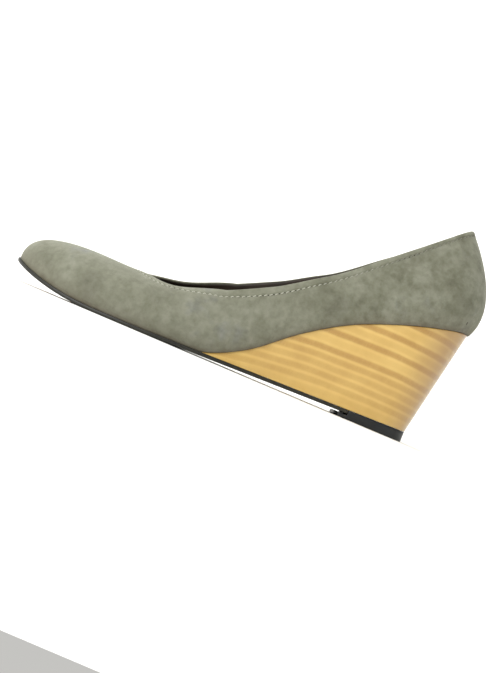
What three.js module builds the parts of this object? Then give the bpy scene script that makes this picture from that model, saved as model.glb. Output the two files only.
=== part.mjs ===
// A wedge court shoe for the left foot, in millimetres.
// +X points to the toe, +Y to the outer side of the foot and +Z up.
// It stands on Z = 0, on its top lift and on the ball of its outsole.
import * as THREE from 'three';
import { mergeVertices } from 'three/addons/utils/BufferGeometryUtils.js';

// Driving dimensions of the last
const lastLength = 243;
const ballWidth = 77;
const seatWidth = 57;
const heelHeight = 67.5;
const backHeight = 59.3;
const backLean = 19.5;
const throatHeight = 27.6;
const vampLength = 63.7;
const toeSpring = 10;
const treadStart = 163;
const treadEnd = 187;

// Driving dimensions of the pieces
const wallThickness = 2;
const wedgeLength = 130;
const wedgeInset = 1;
const wedgeTipThickness = 0.8;
const outsoleThickness = 2;
const outsoleEdge = 1;
const insoleThickness = 2;
const liftLength = 34.5;
const liftProud = 3;
const lapLength = 5;
const lapGap = 0.8;
const clearance = 0.3;

// The last widens from the seat's to the ball's width between these shares of its length
const seatEnds = 0.2;
const ballStarts = 0.55;

// The outsole leaves the wedge's outline for the feather line between these shares of wedgeLength
const blendStarts = 0.8;
const blendEnds = 1.1;

// How finely the curves are cut into facets
const wallColumns = 96;
const wallRows = 11;
const soleStations = 48;
const wedgeLevels = 4;

// How closely curves are probed for directions and places
const probe = 0.002;
const tipStep = 0.1;
const touching = 1e-6;

// Rows of these tables run from the back of the heel round one side to the tip of the toe.
// The feather line is where the upper meets the sole: x is a share of lastLength, and outer and
// inner are shares of the half width there, towards the outer and the inner side of the foot.
const featherLine = table(['x', 'outer', 'inner'], [
  [0.000, 0.000, 0.000], // back of the heel
  [0.031, 0.630, 0.615],
  [0.107, 0.996, 0.955], // heel seat
  [0.214, 1.045, 0.945],
  [0.329, 0.950, 0.775], // waist
  [0.453, 0.870, 0.735],
  [0.593, 0.985, 0.935], // ball
  [0.741, 0.992, 1.018],
  [0.872, 0.805, 0.895],
  [0.963, 0.430, 0.545],
  [1.000, -0.050, 0.050], // tip of the toe
]);

// The bottom line is the outline of the wedge and the lift where they meet the outsole, in front of
// the wedge the outsole follows the feather line instead. Shares are of the same sizes.
const bottomLine = table(['x', 'outer', 'inner'], [
  [0.052, 0.000, 0.000],
  [0.072, 0.460, 0.475],
  [0.136, 0.690, 0.720],
  [0.230, 0.790, 0.690],
  [0.337, 0.805, 0.510],
  [0.453, 0.850, 0.645],
  [0.593, 0.985, 0.935],
  [0.741, 0.992, 1.018],
  [0.872, 0.805, 0.895],
  [0.963, 0.430, 0.545],
  [1.000, -0.050, 0.050],
]);

// The collar: x is a share of its length from the back to the throat, and the two rises are its
// height above the seat, with 0 at throatHeight and 1 at backHeight.
const collarLine = table(['x', 'outer', 'inner', 'outerRise', 'innerRise'], [
  [0.000, 0.000, 0.000, 1.000, 1.000],
  [0.023, 0.370, 0.370, 0.955, 0.965],
  [0.105, 0.667, 0.650, 0.700, 0.765],
  [0.219, 0.874, 0.857, 0.395, 0.555],
  [0.371, 0.908, 0.854, 0.143, 0.370],
  [0.523, 0.857, 0.784, 0.223, 0.521],
  [0.688, 0.806, 0.753, 0.226, 0.552],
  [0.840, 0.714, 0.688, -0.002, 0.269],
  [0.941, 0.494, 0.506, 0.006, 0.132],
  [0.989, 0.247, 0.273, 0.000, 0.030],
  [1.000, -0.020, 0.020, 0.000, 0.000],
]);

// How the wall curves between feather line and collar. Its lower and upper handle each reach out
// by a share of the half width, and up or down by a share of the wall's rise.
const wallCurve = table(['lowOut', 'lowUp', 'highOut', 'highDown'], [
  [0.300, 0.300, 0.500, 0.300],
  [0.270, 0.320, 0.440, 0.310],
  [0.160, 0.350, 0.280, 0.350],
  [0.105, 0.340, 0.160, 0.340],
  [0.080, 0.350, 0.095, 0.320],
  [0.095, 0.350, 0.095, 0.330],
  [0.115, 0.350, 0.160, 0.290],
  [0.090, 0.520, 0.340, 0.150],
  [0.065, 0.660, 0.480, 0.080],
  [0.050, 0.920, 0.720, -0.100],
  [0.040, 1.100, 0.830, -0.200],
]);

// Rise of the seat over the outsole, along the wedge from back to tip, as a share of its height
// at the back. Rows are evenly spaced.
const seatRise = [1, 0.918, 0.811, 0.666, 0.443, 0.159, 0];

// Turns rows of numbers into named columns.
function table(names, rows) {
  return Object.fromEntries(names.map((name, i) => [name, rows.map((row) => row[i])]));
}

// Smooth step from 0 to 1.
function ease(t) {
  const s = THREE.MathUtils.clamp(t, 0, 1);
  return s * s * (3 - 2 * s);
}

// One stretch of a cubic curve with given ends and slopes.
function stretch(a, b, slopeA, slopeB, t) {
  const c = 3 * (b - a) - 2 * slopeA - slopeB;
  const d = 2 * (a - b) + slopeA + slopeB;
  return a + t * (slopeA + t * (c + t * d));
}

// Slopes that make a closed curve through evenly spaced values bend without a break. They settle
// within far fewer passes than these.
function closedSlopes(values, passes = 40) {
  const n = values.length;
  const rise = values.map((v, i) => values[(i + 1) % n] - values[(i + n - 1) % n]);
  const slopes = rise.map((r) => r / 2);
  for (let pass = 0; pass < passes; pass += 1) {
    for (let i = 0; i < n; i += 1) {
      slopes[i] = (3 * rise[i] - slopes[(i + 1) % n] - slopes[(i + n - 1) % n]) / 4;
    }
  }
  return slopes;
}

// A closed curve from a column for the outer side and one for the inner side, which share the rows
// at heel and toe. It is a function of u, which is 0 at the heel, 0.5 at the toe and 1 at the heel.
function around(outer, inner) {
  const values = [...outer, ...inner.slice(1, -1).reverse()];
  const slopes = closedSlopes(values);
  const n = values.length;
  return (u) => {
    const place = ((u % 1) + 1) % 1 * n;
    const i = Math.floor(place) % n;
    const j = (i + 1) % n;
    return stretch(values[i], values[j], slopes[i], slopes[j], place - Math.floor(place));
  };
}

// Half width that the tables' shares are taken of: the seat's behind, the ball's in front.
function halfWidth(x) {
  const forward = ease((x / lastLength - seatEnds) / (ballStarts - seatEnds));
  return (seatWidth + (ballWidth - seatWidth) * forward) / 2;
}

// Where the top lift ends and the outsole begins
const liftFront = bottomLine.x[0] * lastLength + liftLength;

// Height of the outsole's underside: up to the lift behind the tread, up to the toe before it.
function ground(x) {
  const behind = Math.max(treadStart - x, 0) / (treadStart - liftFront);
  const ahead = Math.max(x - treadEnd, 0) / (lastLength - treadEnd);
  return liftProud * behind + toeSpring * ahead * ahead;
}

function soleTop(x) {
  return ground(x) + outsoleThickness;
}

// Height of the surface that the upper stands on: the wedge's top, then the outsole's.
function seat(x) {
  const last = seatRise.length - 1;
  const place = THREE.MathUtils.clamp(x / wedgeLength, 0, 1) * last;
  const i = Math.min(Math.floor(place), last - 1);
  const at = (k) => seatRise[THREE.MathUtils.clamp(k, 0, last)];
  const slopeAt = (k) => (at(k + 1) - at(k - 1)) / 2;
  const share = stretch(at(i), at(i + 1), slopeAt(i), slopeAt(i + 1), place - i);
  return soleTop(x) + share * (heelHeight - soleTop(0));
}

// A plan outline as a function of u, grown outwards by a margin.
function outline(line, margin) {
  const along = around(line.x, line.x);
  const across = around(line.outer, line.inner.map((share) => -share));
  const plain = (u) => {
    const x = along(u) * lastLength;
    return new THREE.Vector2(x, across(u) * halfWidth(x));
  };
  return (u) => plain(u).addScaledVector(outward(plain, u), margin);
}

// Direction square to a plan outline, pointing away from the shoe.
function outward(plan, u) {
  const run = plan(u + probe).sub(plan(u - probe));
  return new THREE.Vector2(-run.y, run.x).normalize();
}

const feather = outline(featherLine, 0);

// The collar's edge as a function of u.
const collarAlong = around(collarLine.x, collarLine.x);
const collarAcross = around(collarLine.outer, collarLine.inner.map((share) => -share));
const collarRise = around(collarLine.outerRise, collarLine.innerRise);

function collarPlan(u) {
  const x = backLean + collarAlong(u) * (lastLength - vampLength - backLean);
  return new THREE.Vector2(x, collarAcross(u) * halfWidth(x));
}

function collar(u) {
  const plan = collarPlan(u);
  const rise = throatHeight + collarRise(u) * (backHeight - throatHeight);
  return new THREE.Vector3(plan.x, plan.y, seat(plan.x) + rise);
}

const handles = Object.fromEntries(
  Object.entries(wallCurve).map(([name, column]) => [name, around(column, column)]),
);

// The upper's outer surface: u goes round the shoe and v up the wall, from 0 to 1.
function wall(u, v) {
  const foot = feather(u);
  const low = new THREE.Vector3(foot.x, foot.y, seat(foot.x) + clearance);
  const high = collar(u);
  const rise = high.z - low.z;
  const lowOut = outward(feather, u).multiplyScalar(handles.lowOut(u) * halfWidth(low.x));
  const highOut = outward(collarPlan, u).multiplyScalar(handles.highOut(u) * halfWidth(high.x));
  const lowHandle = low.clone().add(new THREE.Vector3(lowOut.x, lowOut.y, handles.lowUp(u) * rise));
  const highHandle = high.clone().add(
    new THREE.Vector3(highOut.x, highOut.y, -handles.highDown(u) * rise),
  );
  return new THREE.CubicBezierCurve3(low, lowHandle, highHandle, high).getPoint(v);
}

// The same surface, moved square to itself into the shoe. Its lower edge stays on the seat.
function innerWall(u, v, depth) {
  const round = wall(u + probe, v).sub(wall(u - probe, v));
  const up = wall(u, Math.min(v + probe, 1)).sub(wall(u, Math.max(v - probe, 0)));
  const inwards = round.cross(up).normalize();
  const point = wall(u, v).addScaledVector(inwards, depth);
  if (v > 0) return point;
  const foot = feather(u).addScaledVector(outward(feather, u), -depth);
  return new THREE.Vector3(foot.x, foot.y, seat(foot.x) + clearance);
}

// A mesh from points and triangles, with its faces turned outwards.
function solid(name, points, triangles, material) {
  const volume = triangles.reduce((sum, [a, b, c]) => (
    sum + points[a].dot(points[b].clone().cross(points[c]))
  ), 0);
  const facing = volume < 0 ? triangles.map(([a, b, c]) => [a, c, b]) : triangles;
  const geometry = new THREE.BufferGeometry().setFromPoints(points);
  geometry.setIndex(facing.flat());
  const mesh = new THREE.Mesh(mergeVertices(geometry), material);
  mesh.name = name;
  return mesh;
}

// Triangles that join neighbouring points of two loops of the same length.
function band(from, to, length) {
  const triangles = [];
  for (let i = 0; i < length; i += 1) {
    const next = (i + 1) % length;
    triangles.push([from + i, from + next, to + next], [from + i, to + next, to + i]);
  }
  return triangles;
}

// A closed ring, from a loop of points at each step round the shoe.
function ring(name, loops, material) {
  const size = loops[0].length;
  const triangles = loops.flatMap((loop, i) => band(i * size, (i + 1) % loops.length * size, size));
  return solid(name, loops.flat(), triangles, material);
}

// A closed body from levels, lowest first. A level has a row of points along the outer side and
// one along the inner side, and at heel or toe its rows may meet in one point.
function stack(name, levels, material) {
  const { outer, inner } = levels[0];
  const last = outer.length - 1;
  const closedBack = outer[0].distanceTo(inner[0]) < touching ? 1 : 0;
  const closedFront = outer[last].distanceTo(inner[last]) < touching ? 1 : 0;
  const loops = levels.map((level) => [
    ...level.outer,
    ...level.inner.slice(closedBack, level.inner.length - closedFront).reverse(),
  ]);
  const size = loops[0].length;
  const innerIndex = (i) => (i === last && closedFront ? last : (size - 1 - i + closedBack) % size);
  const lid = [];
  for (let i = 0; i < last; i += 1) {
    lid.push([i, i + 1, innerIndex(i + 1)], [i, innerIndex(i + 1), innerIndex(i)]);
  }
  const cap = lid.filter(([a, b, c]) => a !== b && b !== c && c !== a);
  const top = (levels.length - 1) * size;
  const sides = loops.slice(1).flatMap((loop, i) => band(i * size, (i + 1) * size, size));
  const triangles = [
    ...cap.map(([a, b, c]) => [a, c, b]),
    ...sides,
    ...cap.map(([a, b, c]) => [a + top, b + top, c + top]),
  ];
  return solid(name, loops.flat(), triangles, material);
}

// One level of a stack: a plan outline between two places along the shoe, at heights from height(x).
function level(plan, fromU, toU, height) {
  const row = (side) => Array.from({ length: soleStations + 1 }, (_, i) => {
    const u = THREE.MathUtils.lerp(fromU, toU, i / soleStations);
    const point = plan(side * u);
    return new THREE.Vector3(point.x, point.y, height(point.x));
  });
  return { outer: row(1), inner: row(-1) };
}

// The place u on the outer side at which a plan outline reaches x, found by halving.
function placeOf(plan, x, halvings = 40) {
  let low = 0;
  let high = 0.5;
  for (let i = 0; i < halvings; i += 1) {
    const middle = (low + high) / 2;
    if (plan(middle).x < x) low = middle;
    else high = middle;
  }
  return low;
}

function finish(color, roughness) {
  return new THREE.MeshStandardMaterial({ color, roughness, metalness: 0 });
}

function makeUpper() {
  const loops = Array.from({ length: wallColumns }, (_, i) => {
    const u = i / wallColumns;
    const heights = Array.from({ length: wallRows + 1 }, (_, j) => j / wallRows);
    const outside = heights.map((v) => wall(u, v));
    const inside = heights.map((v) => innerWall(u, v, wallThickness)).reverse();
    return [...outside, ...inside];
  });
  return ring('upper', loops, finish('#8b8c7e', 0.95));
}

function makeInsole() {
  const plan = outline(featherLine, -(wallThickness + clearance));
  const under = (x) => seat(x) + clearance;
  const over = (x) => seat(x) + clearance + insoleThickness;
  const levels = [level(plan, 0, 0.5, under), level(plan, 0, 0.5, over)];
  return stack('insole', levels, finish('#5a4436', 0.6));
}

const wedgeFoot = outline(bottomLine, 0);

function makeWedge() {
  const rim = outline(featherLine, -wedgeInset);
  const base = (x) => soleTop(x) + clearance;
  let tip = wedgeLength;
  while (seat(tip) < base(tip) + wedgeTipThickness) tip -= tipStep;
  const low = level(wedgeFoot, 0, placeOf(wedgeFoot, tip), base);
  const high = level(rim, 0, placeOf(rim, tip), seat);
  const mix = (a, b, share) => a.map((point, i) => point.clone().lerp(b[i], share));
  const levels = Array.from({ length: wedgeLevels + 1 }, (_, i) => ({
    outer: mix(low.outer, high.outer, i / wedgeLevels),
    inner: mix(low.inner, high.inner, i / wedgeLevels),
  }));
  return stack('wedge', levels, finish('#c9a25c', 0.3));
}

function makeOutsole() {
  const front = outline(featherLine, outsoleEdge);
  const plan = (u) => {
    const behind = wedgeFoot(u);
    const ahead = front(u);
    return behind.lerp(ahead, ease((ahead.x / wedgeLength - blendStarts) / (blendEnds - blendStarts)));
  };
  const start = placeOf(plan, liftFront + clearance);
  const levels = [level(plan, start, 0.5, ground), level(plan, start, 0.5, soleTop)];
  return stack('outsole', levels, finish('#a98d62', 0.5));
}

function makeTopLift() {
  const front = liftFront + lapLength;
  const over = (x) => (x < liftFront ? soleTop(x) : ground(x) - lapGap);
  const under = () => 0;
  const end = placeOf(wedgeFoot, front);
  const levels = [level(wedgeFoot, 0, end, under), level(wedgeFoot, 0, end, over)];
  return stack('top_lift', levels, finish('#1b1c1d', 0.7));
}

// The whole shoe, with its origin below its middle
const shoe = new THREE.Group();
shoe.add(makeUpper(), makeInsole(), makeWedge(), makeOutsole(), makeTopLift());
const middle = new THREE.Box3().setFromObject(shoe).getCenter(new THREE.Vector3());
shoe.position.set(-middle.x, -middle.y, 0);

const group = new THREE.Group();
group.add(shoe);

export default group;
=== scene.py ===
# %% [markdown]
# # A wedge court shoe in grey suede
#
# The shoe is a left one, for a woman. A suede upper stands on a wedge of thin stacked layers, and a
# leather outsole runs under both. Each piece gets its own mesh, made by functions of a few sizes of
# the last, which is the foot-shaped block that a shoe is built on. Then it gets its own material.

import math

import bmesh
import bpy
import numpy as np
from mathutils import Matrix, Vector


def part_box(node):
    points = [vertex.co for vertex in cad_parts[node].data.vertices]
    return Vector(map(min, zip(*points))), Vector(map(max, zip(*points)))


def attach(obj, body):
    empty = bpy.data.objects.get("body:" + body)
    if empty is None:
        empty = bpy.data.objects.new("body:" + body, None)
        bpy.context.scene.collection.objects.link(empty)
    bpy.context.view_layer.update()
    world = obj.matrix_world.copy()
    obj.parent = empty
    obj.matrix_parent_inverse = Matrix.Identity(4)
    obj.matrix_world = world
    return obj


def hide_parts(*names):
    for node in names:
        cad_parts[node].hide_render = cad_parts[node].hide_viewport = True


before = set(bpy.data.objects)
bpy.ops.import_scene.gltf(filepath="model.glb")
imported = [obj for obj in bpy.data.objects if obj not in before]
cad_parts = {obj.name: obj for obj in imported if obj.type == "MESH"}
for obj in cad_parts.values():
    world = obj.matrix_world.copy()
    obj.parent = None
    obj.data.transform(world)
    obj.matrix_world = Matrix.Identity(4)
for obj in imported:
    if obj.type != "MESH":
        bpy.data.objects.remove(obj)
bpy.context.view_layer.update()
print("CAD nodes", sorted(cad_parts))

# %% [markdown]
# ## The last
#
# Each outline of a shoe is a closed curve through a few stations. They could be drawn as splines by
# hand, but then a change of size would mean drawing them again. Here a short table holds each curve
# as shares of named sizes, in millimetres. Its rows run from the back of the heel to the tip of the
# toe, with a column for the outer and one for the inner side of the foot.

# %% Sizes of the last and the sole
LAST_LENGTH = 243.0
BALL_WIDTH = 77.0
SEAT_WIDTH = 57.0
SEAT_ENDS = 0.2
BALL_STARTS = 0.55
HEEL_HEIGHT = 67.5
BACK_HEIGHT = 59.3
BACK_LEAN = 19.5
THROAT_HEIGHT = 27.6
VAMP_LENGTH = 63.7
TOE_SPRING = 10.0
TREAD_START = 163.0
TREAD_END = 187.0
WEDGE_LENGTH = 130.0
OUTSOLE_THICKNESS = 2.0
LIFT_LENGTH = 34.5
LIFT_PROUD = 3.0
LAP_LENGTH = 5.0
LAP_GAP = 0.8
CLEARANCE = 0.3

# The feather line is where the upper meets the sole.
FEATHER = {
    "x": [0.000, 0.031, 0.107, 0.214, 0.329, 0.453, 0.593, 0.741, 0.872, 0.963, 1.000],
    "outer": [0.000, 0.630, 0.996, 1.045, 0.950, 0.870, 0.985, 0.992, 0.805, 0.430, -0.050],
    "inner": [0.000, 0.615, 0.955, 0.945, 0.775, 0.735, 0.935, 1.018, 0.895, 0.545, 0.050],
}
# The bottom line is the narrower outline of the wedge where it meets the outsole.
BOTTOM = {
    "x": [0.052, 0.072, 0.136, 0.230, 0.337, 0.453, 0.593, 0.741, 0.872, 0.963, 1.000],
    "outer": [0.000, 0.460, 0.690, 0.790, 0.805, 0.850, 0.985, 0.992, 0.805, 0.430, -0.050],
    "inner": [0.000, 0.475, 0.720, 0.690, 0.510, 0.645, 0.935, 1.018, 0.895, 0.545, 0.050],
}
# The collar is the edge that the foot goes in at. Its rises are heights above the seat.
COLLAR = {
    "x": [0.000, 0.023, 0.105, 0.219, 0.371, 0.523, 0.688, 0.840, 0.941, 0.989, 1.000],
    "outer": [0.000, 0.370, 0.667, 0.874, 0.908, 0.857, 0.806, 0.714, 0.494, 0.247, -0.020],
    "inner": [0.000, 0.370, 0.650, 0.857, 0.854, 0.784, 0.753, 0.688, 0.506, 0.273, 0.020],
    "outer_rise": [1.000, 0.955, 0.700, 0.395, 0.143, 0.223, 0.226, -0.002, 0.006, 0.000, 0.000],
    "inner_rise": [1.000, 0.965, 0.765, 0.555, 0.370, 0.521, 0.552, 0.269, 0.132, 0.030, 0.000],
}
# The wall's handles bend it between feather line and collar.
WALL = {
    "low_out": [0.300, 0.270, 0.160, 0.105, 0.080, 0.095, 0.115, 0.090, 0.065, 0.050, 0.040],
    "low_up": [0.300, 0.320, 0.350, 0.340, 0.350, 0.350, 0.350, 0.520, 0.660, 0.920, 1.100],
    "high_out": [0.500, 0.440, 0.280, 0.160, 0.095, 0.095, 0.160, 0.340, 0.480, 0.720, 0.830],
    "high_down": [0.300, 0.310, 0.350, 0.340, 0.320, 0.330, 0.290, 0.150, 0.080, -0.100, -0.200],
}
# The seat falls from the back of the wedge to its tip, in even steps along the wedge.
SEAT_RISE = [1, 0.918, 0.811, 0.666, 0.443, 0.159, 0]
print("last", LAST_LENGTH, "mm long,", BALL_WIDTH, "mm wide at the ball")


# %% [markdown]
# A closed curve has to bend without a break at every station, also where its two sides meet at heel
# and toe. Blender's own curves can do that, but not in step with each other. A small equation for
# the slopes gives a curve that is smooth all round, as a function of one place u. It is 0 at the
# heel, 0.5 at the toe, and 1 back at the heel.

# %% Closed curves
PROBE = 0.002


def stretch(a, b, slope_a, slope_b, t):
    """One stretch of a cubic curve with given ends and slopes."""
    c = 3 * (b - a) - 2 * slope_a - slope_b
    d = 2 * (a - b) + slope_a + slope_b
    return a + t * (slope_a + t * (c + t * d))


def around(outer, inner):
    """A smooth closed curve of u through the rows of a table, as a function."""
    values = np.array([*outer, *inner[-2:0:-1]], float)
    count = len(values)
    step = np.eye(count)
    weights = 4 * step + np.roll(step, 1, 0) + np.roll(step, -1, 0)
    slopes = np.linalg.solve(weights, 3 * (np.roll(values, -1) - np.roll(values, 1)))

    def at(u):
        place = np.mod(u, 1.0) * count
        first = np.floor(place).astype(int) % count
        after = (first + 1) % count
        return stretch(values[first], values[after], slopes[first], slopes[after], place - np.floor(place))

    return at


def ease(t):
    """Smooth step from 0 to 1."""
    s = np.clip(t, 0, 1)
    return s * s * (3 - 2 * s)


def half_width(x):
    forward = ease((x / LAST_LENGTH - SEAT_ENDS) / (BALL_STARTS - SEAT_ENDS))
    return (SEAT_WIDTH + (BALL_WIDTH - SEAT_WIDTH) * forward) / 2


LIFT_FRONT = BOTTOM["x"][0] * LAST_LENGTH + LIFT_LENGTH


def ground(x):
    """Height of the outsole's underside."""
    behind = np.maximum(TREAD_START - x, 0) / (TREAD_START - LIFT_FRONT)
    ahead = np.maximum(x - TREAD_END, 0) / (LAST_LENGTH - TREAD_END)
    return LIFT_PROUD * behind + TOE_SPRING * ahead**2


def sole_top(x):
    return ground(x) + OUTSOLE_THICKNESS


def seat(x):
    """Height of the surface that the upper stands on."""
    last = len(SEAT_RISE) - 1
    rises = np.array(SEAT_RISE, float)
    place = np.clip(x / WEDGE_LENGTH, 0, 1) * last
    first = np.minimum(np.floor(place).astype(int), last - 1)

    def rise_at(k):
        return rises[np.clip(k, 0, last)]

    def slope_at(k):
        return (rise_at(k + 1) - rise_at(k - 1)) / 2

    share = stretch(rise_at(first), rise_at(first + 1), slope_at(first), slope_at(first + 1), place - first)
    return sole_top(x) + share * (HEEL_HEIGHT - sole_top(0.0))


def outward(plan, u):
    """Direction square to a plan outline, away from the shoe."""
    run = plan(u + PROBE) - plan(u - PROBE)
    square = np.stack([-run[..., 1], run[..., 0]], -1)
    return square / np.linalg.norm(square, axis=-1, keepdims=True)


def outline(line, margin=0.0):
    """A plan outline as a function of u, grown outwards by a margin."""
    along = around(line["x"], line["x"])
    across = around(line["outer"], [-share for share in line["inner"]])

    def plain(u):
        x = along(u) * LAST_LENGTH
        return np.stack([x, across(u) * half_width(x)], -1)

    def grown(u):
        return plain(u) + outward(plain, u) * np.asarray(margin)[..., None]

    return grown


feather = outline(FEATHER)
heel_to_toe = feather(np.array([0.0, 0.5]))
print("feather line from x", heel_to_toe[0, 0].round(1), "to", heel_to_toe[1, 0].round(1), "mm")

# %% [markdown]
# The wall of the upper rises from the feather line, swells a little and leans in to the collar. One
# cubic curve with two handles draws each upright line of it, and the handles change slowly round the
# shoe. So the wall is one smooth surface of u and v, where v climbs from 0 to 1.

# %% The wall of the upper
collar_along = around(COLLAR["x"], COLLAR["x"])
collar_across = around(COLLAR["outer"], [-share for share in COLLAR["inner"]])
collar_rise = around(COLLAR["outer_rise"], COLLAR["inner_rise"])
handle = {name: around(column, column) for name, column in WALL.items()}


def collar_plan(u):
    x = BACK_LEAN + collar_along(u) * (LAST_LENGTH - VAMP_LENGTH - BACK_LEAN)
    return np.stack([x, collar_across(u) * half_width(x)], -1)


def wall(u, v):
    """Points on the outer face of the wall, round the shoe with u and up it with v."""
    u, v = np.broadcast_arrays(np.asarray(u, float), np.asarray(v, float))
    foot, edge = feather(u), collar_plan(u)
    low = np.dstack([foot[..., 0], foot[..., 1], seat(foot[..., 0]) + CLEARANCE]).reshape(*u.shape, 3)
    top = seat(edge[..., 0]) + THROAT_HEIGHT + collar_rise(u) * (BACK_HEIGHT - THROAT_HEIGHT)
    high = np.dstack([edge[..., 0], edge[..., 1], top]).reshape(*u.shape, 3)
    rise = high[..., 2] - low[..., 2]
    low_out = outward(feather, u) * (handle["low_out"](u) * half_width(low[..., 0]))[..., None]
    high_out = outward(collar_plan, u) * (handle["high_out"](u) * half_width(high[..., 0]))[..., None]
    low_handle = low + np.concatenate([low_out, (handle["low_up"](u) * rise)[..., None]], -1)
    high_handle = high + np.concatenate([high_out, (-handle["high_down"](u) * rise)[..., None]], -1)
    w = v[..., None]
    return (
        (1 - w) ** 3 * low
        + 3 * (1 - w) ** 2 * w * low_handle
        + 3 * (1 - w) * w**2 * high_handle
        + w**3 * high
    )


def unit(vectors):
    return vectors / np.linalg.norm(vectors, axis=-1, keepdims=True)


def wall_out(u, v):
    """Direction square to the wall, away from the foot."""
    v = np.asarray(v, float)
    round_about = wall(u + PROBE, v) - wall(u - PROBE, v)
    up = wall(u, np.minimum(v + PROBE, 1)) - wall(u, np.maximum(v - PROBE, 0))
    return -unit(np.cross(round_about, up))


heights = wall(np.array([0.0, 0.5]), np.array([1.0, 1.0]))[:, 2].round(1)
print("collar", heights[0], "mm high at the back and", heights[1], "mm at the throat")

# %% [markdown]
# ## From sizes to meshes
#
# The functions give millimetres from the back of the heel, and the frame has metres from the middle
# of the shoe. The shift between the two is read from the frame itself, at the tip of the outsole.
# Surfaces are grids of points: a loop makes the faces between neighbours, and Blender merges points
# that fall together, such as the two sides of a heel.

# %% Helpers for meshes
MM = 0.001
OUTSOLE_EDGE = 1.0
FINE_POINTS = 4001
sole_line = outline(FEATHER, OUTSOLE_EDGE)
fine_round = np.linspace(0, 1, FINE_POINTS)
tip_x = sole_line(fine_round)[:, 0].max()
wall_sides = wall(fine_round[:, None], np.linspace(0, 1, 60)[None, :])[..., 1]
sole_sides = sole_line(fine_round)[:, 1]
middle_y = (max(wall_sides.max(), sole_sides.max()) + min(wall_sides.min(), sole_sides.min())) / 2
SHIFT = np.array([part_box("outsole")[1].x - tip_x * MM, -middle_y * MM, 0.0])
MERGE = 1e-6
MID_ROUND = 0.3  # how far in a rounded edge is at its middle, as a share of its radius
print("shift to the frame", (SHIFT / MM).round(3), "mm")


def ring_faces(loops, size, closed=False):
    """Faces between neighbouring loops of size points each, and if closed from the last to the first."""
    faces = []
    for i in range(loops if closed else loops - 1):
        here, above = i * size, (i + 1) % loops * size
        for j in range(size):
            k = (j + 1) % size
            faces.append((here + j, here + k, above + k, above + j))
    return faces


def make_piece(name, points, faces, materials, face_materials=None):
    """A smooth piece from points in millimetres."""
    mesh = bpy.data.meshes.new(name)
    placed = np.asarray(points).reshape(-1, 3) * MM + SHIFT
    mesh.from_pydata(placed.tolist(), [], faces)
    for material in materials:
        mesh.materials.append(material)
    if face_materials is not None:
        mesh.polygons.foreach_set("material_index", face_materials)
    build = bmesh.new()
    build.from_mesh(mesh)
    bmesh.ops.remove_doubles(build, verts=build.verts, dist=MERGE)
    bmesh.ops.dissolve_degenerate(build, edges=build.edges, dist=MERGE)
    bmesh.ops.recalc_face_normals(build, faces=build.faces)
    build.to_mesh(mesh)
    build.free()
    mesh.shade_smooth()
    piece = bpy.data.objects.new(name, mesh)
    bpy.context.collection.objects.link(piece)
    triangles = sum(len(p.vertices) - 2 for p in mesh.polygons)
    print(name, triangles, "triangles")
    return piece


# %% [markdown]
# ## Helpers for materials
#
# Colours are written as they are picked on a screen, in sRGB hex, and one function turns them to the
# linear values that Blender mixes. A second one adds a node with its settings and links.

# %% Helpers for materials
def linear(hex_colour):
    """The linear colour of an sRGB hex value."""
    parts = [int(hex_colour[i : i + 2], 16) / 255 for i in (1, 3, 5)]
    return [c / 12.92 if c <= 0.04045 else ((c + 0.055) / 1.055) ** 2.4 for c in parts] + [1.0]


def feed(tree, node, inputs):
    """Fills a node's inputs, each from a plain value or from the socket that feeds it."""
    for key, value in inputs.items():
        if isinstance(value, bpy.types.NodeSocket):
            tree.links.new(value, node.inputs[key])
        else:
            node.inputs[key].default_value = value


def add(tree, kind, inputs=None, **settings):
    """Adds a node with its settings and inputs."""
    made = tree.nodes.new(kind)
    for key, value in settings.items():
        setattr(made, key, value)
    feed(tree, made, inputs or {})
    return made


def start_material(name):
    """A new material with its shader, and the place of each point in metres."""
    material = bpy.data.materials.new(name)
    material.use_nodes = True
    tree = material.node_tree
    shader = tree.nodes["Principled BSDF"]
    place = add(tree, "ShaderNodeTexCoord").outputs["Object"]
    return material, tree, shader, place


def set_ramp(ramp, stops, interpolation="LINEAR"):
    """Fills a colour ramp from (position, colour) pairs."""
    band = ramp.color_ramp
    band.interpolation = interpolation
    while len(band.elements) < len(stops):
        band.elements.new(0.5)
    for element, (position, colour) in zip(band.elements, stops):
        element.position = position
        element.color = colour


def grey(share):
    return (share, share, share, 1)


# A colour mix has its amount and its two colours at these inputs, and its result at this output.
AMOUNT, UNDER, OVER, MIXED = 0, 6, 7, 2
BLEND = {"data_type": "RGBA"}
MULTIPLY = {"data_type": "RGBA", "blend_type": "MULTIPLY"}

# %% [markdown]
# ## Suede
#
# Suede is the flesh side of a skin, buffed until short fibres stand up as a nap. It throws light back
# in all directions, so it is nearly fully rough, with a soft pale sheen where it is seen edge-on.
# Fibres that lie one way or the other look lighter or darker, in clouds of one to three centimetres
# and in patches of a few millimetres. Towards the heel the patches differ more and darken the counter:
# partly its own mottling, partly painted shade. The tones could be painted, but nodes give them at any
# distance.

# %% Suede material
CLOUD = 0.026
PATCH = 0.0075
FLECK = 0.0035
FIBRE = 0.00045  # real fibres are thinner, and are drawn coarser so that they show


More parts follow.
